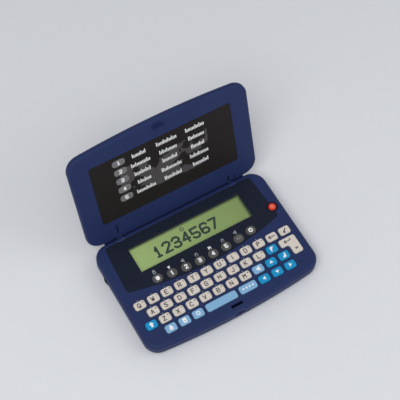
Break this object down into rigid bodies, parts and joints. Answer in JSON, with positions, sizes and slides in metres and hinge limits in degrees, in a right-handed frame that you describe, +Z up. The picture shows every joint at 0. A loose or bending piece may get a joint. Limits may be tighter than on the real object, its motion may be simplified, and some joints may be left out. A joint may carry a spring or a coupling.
{
  "type": "handheld translator",
  "caption": "Pocket electronic translator with a hinged lid, key rows, a wide display, round buttons and a contrast wheel.",
  "frame": {"origin": "centre of the flat underside of the base", "axes": "+X to the right along the key rows, +Y towards the hinge, +Z up out of the keyboard"},
  "size_m": [0.1197, 0.106, 0.0826],
  "materials": {
    "navy_case": "satin",
    "black_trim": "gloss",
    "cream_keys": "matte",
    "cream_caps": "satin",
    "bright_blue_keys": "satin",
    "light_blue_keys": "satin",
    "grey_buttons": "satin",
    "red_button": "gloss",
    "clear_window": "gloss",
    "lcd": "satin",
    "board": "satin",
    "steel": "satin",
    "black_plastic": "matte"
  },
  "bodies": {
    "base": {"lower_case": "navy_case", "upper_case": "navy_case", "display_bezel": "black_trim", "display_window": "clear_window", "lcd_panel": "lcd", "circuit_board": "board", "letter_keypad": "cream_keys", "coin_cell": "steel", "battery_contacts": "steel", "battery_door": "navy_case", "door_screw": "steel", "case_screws": "steel", "hinge_pins": "steel"},
    "lid": {"lid_shell": "navy_case", "lid_panel": "navy_case", "lid_insert": "black_trim"},
    "wheel": {"contrast_wheel": "black_plastic"},
    "page_up_key_body": {"page_up_key": "bright_blue_keys"},
    "shift_key_body": {"shift_key": "bright_blue_keys"},
    "up_key_body": {"up_key": "bright_blue_keys"},
    "page_down_key_body": {"page_down_key": "bright_blue_keys"},
    "left_key_body": {"left_key": "bright_blue_keys"},
    "down_key_body": {"down_key": "bright_blue_keys"},
    "right_key_body": {"right_key": "bright_blue_keys"},
    "symbol_key_body": {"symbol_key": "light_blue_keys"},
    "mode_key_1_body": {"mode_key_1": "light_blue_keys"},
    "mode_key_2_body": {"mode_key_2": "light_blue_keys"},
    "mode_key_3_body": {"mode_key_3": "light_blue_keys"},
    "space_key_body": {"space_key": "light_blue_keys"},
    "wide_key_body": {"wide_key": "light_blue_keys"},
    "erase_key_body": {"erase_key": "cream_caps"},
    "edit_key_body": {"edit_key": "cream_caps"},
    "enter_key_body": {"enter_key": "cream_caps"},
    "function_button_1_body": {"function_button_1": "grey_buttons"},
    "function_button_2_body": {"function_button_2": "grey_buttons"},
    "function_button_3_body": {"function_button_3": "grey_buttons"},
    "function_button_4_body": {"function_button_4": "grey_buttons"},
    "function_button_5_body": {"function_button_5": "grey_buttons"},
    "function_button_6_body": {"function_button_6": "grey_buttons"},
    "function_button_7_body": {"function_button_7": "grey_buttons"},
    "function_button_8_body": {"function_button_8": "grey_buttons"},
    "power_button_body": {"power_button": "red_button"}
  },
  "joints": [
    {"name": "lid_hinge", "type": "hinge", "parent": "base", "child": "lid", "pos_m": [0, 0.0372, 0.0102], "axis": [1, 0, 0], "range_deg": [-12, 107.8]},
    {"name": "contrast_turn", "type": "hinge", "parent": "base", "child": "wheel", "pos_m": [-0.0548, 0.02, 0.0045], "axis": [0, 0, 1], "range_deg": [-135, 135]},
    {"name": "page_up_key_press", "type": "slide", "parent": "base", "child": "page_up_key_body", "axis": [0, 0, -1], "range_m": [0, 0.0006], "stiffness_N_per_m": 600, "springref_m": -0.0003},
    {"name": "shift_key_press", "type": "slide", "parent": "base", "child": "shift_key_body", "axis": [0, 0, -1], "range_m": [0, 0.0006], "stiffness_N_per_m": 600, "springref_m": -0.0003},
    {"name": "up_key_press", "type": "slide", "parent": "base", "child": "up_key_body", "axis": [0, 0, -1], "range_m": [0, 0.0006], "stiffness_N_per_m": 600, "springref_m": -0.0003},
    {"name": "page_down_key_press", "type": "slide", "parent": "base", "child": "page_down_key_body", "axis": [0, 0, -1], "range_m": [0, 0.0006], "stiffness_N_per_m": 600, "springref_m": -0.0003},
    {"name": "left_key_press", "type": "slide", "parent": "base", "child": "left_key_body", "axis": [0, 0, -1], "range_m": [0, 0.0006], "stiffness_N_per_m": 600, "springref_m": -0.0003},
    {"name": "down_key_press", "type": "slide", "parent": "base", "child": "down_key_body", "axis": [0, 0, -1], "range_m": [0, 0.0006], "stiffness_N_per_m": 600, "springref_m": -0.0003},
    {"name": "right_key_press", "type": "slide", "parent": "base", "child": "right_key_body", "axis": [0, 0, -1], "range_m": [0, 0.0006], "stiffness_N_per_m": 600, "springref_m": -0.0003},
    {"name": "symbol_key_press", "type": "slide", "parent": "base", "child": "symbol_key_body", "axis": [0, 0, -1], "range_m": [0, 0.0006], "stiffness_N_per_m": 600, "springref_m": -0.0003},
    {"name": "mode_key_1_press", "type": "slide", "parent": "base", "child": "mode_key_1_body", "axis": [0, 0, -1], "range_m": [0, 0.0006], "stiffness_N_per_m": 600, "springref_m": -0.0003},
    {"name": "mode_key_2_press", "type": "slide", "parent": "base", "child": "mode_key_2_body", "axis": [0, 0, -1], "range_m": [0, 0.0006], "stiffness_N_per_m": 600, "springref_m": -0.0003},
    {"name": "mode_key_3_press", "type": "slide", "parent": "base", "child": "mode_key_3_body", "axis": [0, 0, -1], "range_m": [0, 0.0006], "stiffness_N_per_m": 600, "springref_m": -0.0003},
    {"name": "space_key_press", "type": "slide", "parent": "base", "child": "space_key_body", "axis": [0, 0, -1], "range_m": [0, 0.0006], "stiffness_N_per_m": 600, "springref_m": -0.0003},
    {"name": "wide_key_press", "type": "slide", "parent": "base", "child": "wide_key_body", "axis": [0, 0, -1], "range_m": [0, 0.0006], "stiffness_N_per_m": 600, "springref_m": -0.0003},
    {"name": "erase_key_press", "type": "slide", "parent": "base", "child": "erase_key_body", "axis": [0, 0, -1], "range_m": [0, 0.0006], "stiffness_N_per_m": 600, "springref_m": -0.0003},
    {"name": "edit_key_press", "type": "slide", "parent": "base", "child": "edit_key_body", "axis": [0, 0, -1], "range_m": [0, 0.0006], "stiffness_N_per_m": 600, "springref_m": -0.0003},
    {"name": "enter_key_press", "type": "slide", "parent": "base", "child": "enter_key_body", "axis": [0, 0, -1], "range_m": [0, 0.0006], "stiffness_N_per_m": 600, "springref_m": -0.0003},
    {"name": "function_button_1_press", "type": "slide", "parent": "base", "child": "function_button_1_body", "axis": [0, 0, -1], "range_m": [0, 0.0006], "stiffness_N_per_m": 600, "springref_m": -0.0003},
    {"name": "function_button_2_press", "type": "slide", "parent": "base", "child": "function_button_2_body", "axis": [0, 0, -1], "range_m": [0, 0.0006], "stiffness_N_per_m": 600, "springref_m": -0.0003},
    {"name": "function_button_3_press", "type": "slide", "parent": "base", "child": "function_button_3_body", "axis": [0, 0, -1], "range_m": [0, 0.0006], "stiffness_N_per_m": 600, "springref_m": -0.0003},
    {"name": "function_button_4_press", "type": "slide", "parent": "base", "child": "function_button_4_body", "axis": [0, 0, -1], "range_m": [0, 0.0006], "stiffness_N_per_m": 600, "springref_m": -0.0003},
    {"name": "function_button_5_press", "type": "slide", "parent": "base", "child": "function_button_5_body", "axis": [0, 0, -1], "range_m": [0, 0.0006], "stiffness_N_per_m": 600, "springref_m": -0.0003},
    {"name": "function_button_6_press", "type": "slide", "parent": "base", "child": "function_button_6_body", "axis": [0, 0, -1], "range_m": [0, 0.0006], "stiffness_N_per_m": 600, "springref_m": -0.0003},
    {"name": "function_button_7_press", "type": "slide", "parent": "base", "child": "function_button_7_body", "axis": [0, 0, -1], "range_m": [0, 0.0006], "stiffness_N_per_m": 600, "springref_m": -0.0003},
    {"name": "function_button_8_press", "type": "slide", "parent": "base", "child": "function_button_8_body", "axis": [0, 0, -1], "range_m": [0, 0.0006], "stiffness_N_per_m": 600, "springref_m": -0.0003},
    {"name": "power_button_press", "type": "slide", "parent": "base", "child": "power_button_body", "axis": [0, 0, -1], "range_m": [0, 0.0006], "stiffness_N_per_m": 600, "springref_m": -0.0003}
  ]
}
